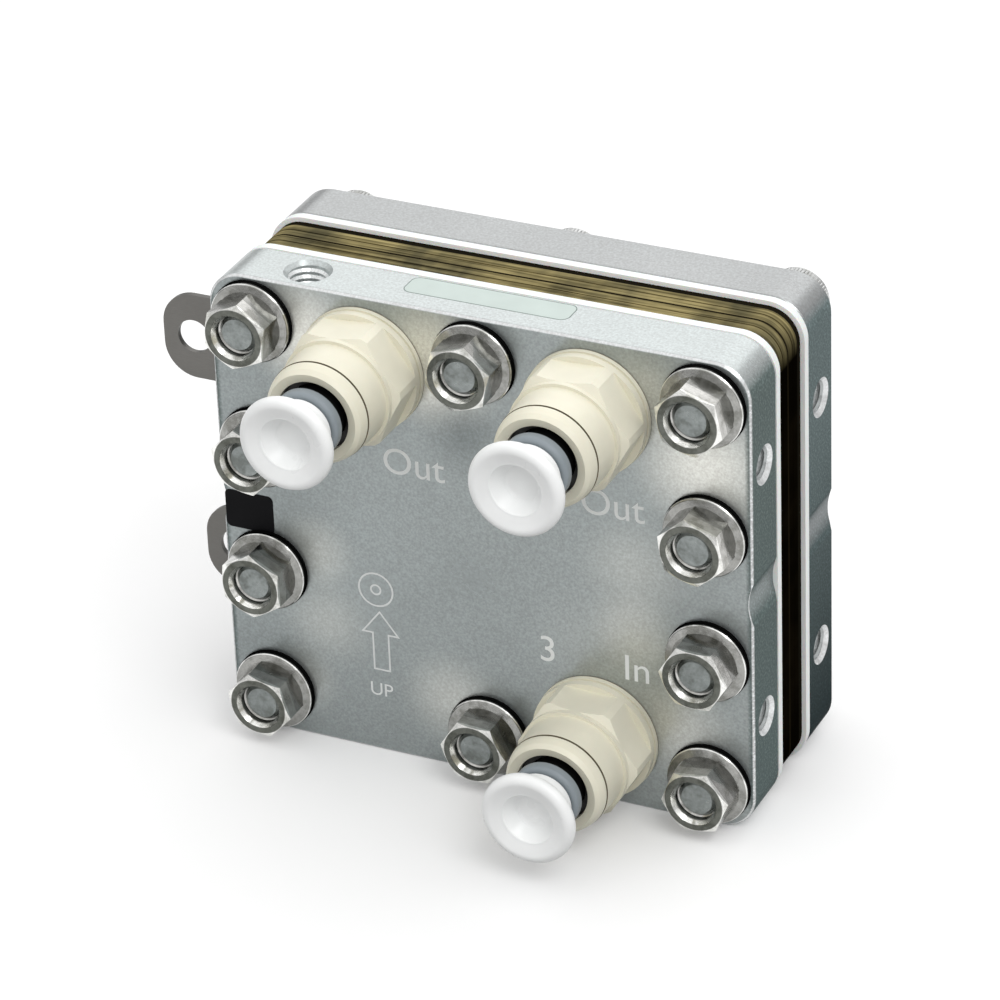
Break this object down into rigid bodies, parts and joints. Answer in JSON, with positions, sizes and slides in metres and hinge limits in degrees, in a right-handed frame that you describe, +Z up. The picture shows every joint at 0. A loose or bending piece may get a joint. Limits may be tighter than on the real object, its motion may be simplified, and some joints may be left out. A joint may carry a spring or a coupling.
{
  "type": "electrolyzer cell module",
  "caption": "Stack of flow frames clamped between two metal end plates by tie bolts, with plugged push-in tube fittings on the front and terminal tabs on one side.",
  "frame": {"origin": "centre of the front end plate's bottom face, midway through that plate's thickness", "axes": "+X to the right seen from the front, +Y from the fittings' side to the screw heads' side, +Z up; the front faces -Y"},
  "size_m": [0.1398, 0.0869, 0.108],
  "materials": {
    "plate_aluminium": "bead-blasted, matte",
    "sheet_white": "smooth, milky",
    "collector_titanium": "satin",
    "gasket_rubber": "matte",
    "bipolar_titanium": "satin",
    "frame_amber": "translucent amber, machined edge",
    "carbon_felt": "porous",
    "titanium_felt": "porous",
    "membrane_film": "thin film",
    "screw_steel": "satin",
    "nut_steel": "bright",
    "washer_black": "matte",
    "sleeve_black": "matte",
    "fitting_cream": "moulded, satin",
    "seal_rubber": "smooth",
    "grip_steel": "bright",
    "collet_grey": "moulded, satin",
    "plug_white": "moulded, smooth"
  },
  "bodies": {
    "module": {"front_end_plate": "plate_aluminium", "rear_end_plate": "plate_aluminium", "front_insulating_sheet": "sheet_white", "rear_insulating_sheet": "sheet_white", "front_collector": "collector_titanium", "rear_collector": "collector_titanium", "front_gasket": "gasket_rubber", "rear_gasket": "gasket_rubber", "bipolar_plate": "bipolar_titanium", "front_cathode_frame": "frame_amber", "front_cathode_felt": "carbon_felt", "front_membrane": "membrane_film", "front_anode_felt": "titanium_felt", "front_anode_frame": "frame_amber", "rear_cathode_frame": "frame_amber", "rear_cathode_felt": "carbon_felt", "rear_membrane": "membrane_film", "rear_anode_felt": "titanium_felt", "rear_anode_frame": "frame_amber", "tie_bolts": "screw_steel", "flange_nuts": "nut_steel", "nut_washers": "washer_black", "bolt_sleeves": "sleeve_black", "hydrogen_fitting_body": "fitting_cream", "hydrogen_face_seal": "seal_rubber", "hydrogen_tube_seal": "seal_rubber", "hydrogen_grip_ring": "grip_steel", "hydrogen_end_cap": "fitting_cream", "oxygen_fitting_body": "fitting_cream", "oxygen_face_seal": "seal_rubber", "oxygen_tube_seal": "seal_rubber", "oxygen_grip_ring": "grip_steel", "oxygen_end_cap": "fitting_cream", "water_fitting_body": "fitting_cream", "water_face_seal": "seal_rubber", "water_tube_seal": "seal_rubber", "water_grip_ring": "grip_steel", "water_end_cap": "fitting_cream"},
    "hydrogen_collet_body": {"hydrogen_collet": "collet_grey"},
    "hydrogen_plug_body": {"hydrogen_plug": "plug_white"},
    "oxygen_collet_body": {"oxygen_collet": "collet_grey"},
    "oxygen_plug_body": {"oxygen_plug": "plug_white"},
    "water_collet_body": {"water_collet": "collet_grey"},
    "water_plug_body": {"water_plug": "plug_white"}
  },
  "joints": [
    {"name": "hydrogen_collet_press", "type": "slide", "parent": "module", "child": "hydrogen_collet_body", "axis": [0, 1, 0], "range_m": [0, 0.0015]},
    {"name": "hydrogen_plug_pull", "type": "slide", "parent": "module", "child": "hydrogen_plug_body", "axis": [0, -1, 0], "range_m": [0, 0.03]},
    {"name": "oxygen_collet_press", "type": "slide", "parent": "module", "child": "oxygen_collet_body", "axis": [0, 1, 0], "range_m": [0, 0.0015]},
    {"name": "oxygen_plug_pull", "type": "slide", "parent": "module", "child": "oxygen_plug_body", "axis": [0, -1, 0], "range_m": [0, 0.03]},
    {"name": "water_collet_press", "type": "slide", "parent": "module", "child": "water_collet_body", "axis": [0, 1, 0], "range_m": [0, 0.0015]},
    {"name": "water_plug_pull", "type": "slide", "parent": "module", "child": "water_plug_body", "axis": [0, -1, 0], "range_m": [0, 0.03]}
  ]
}
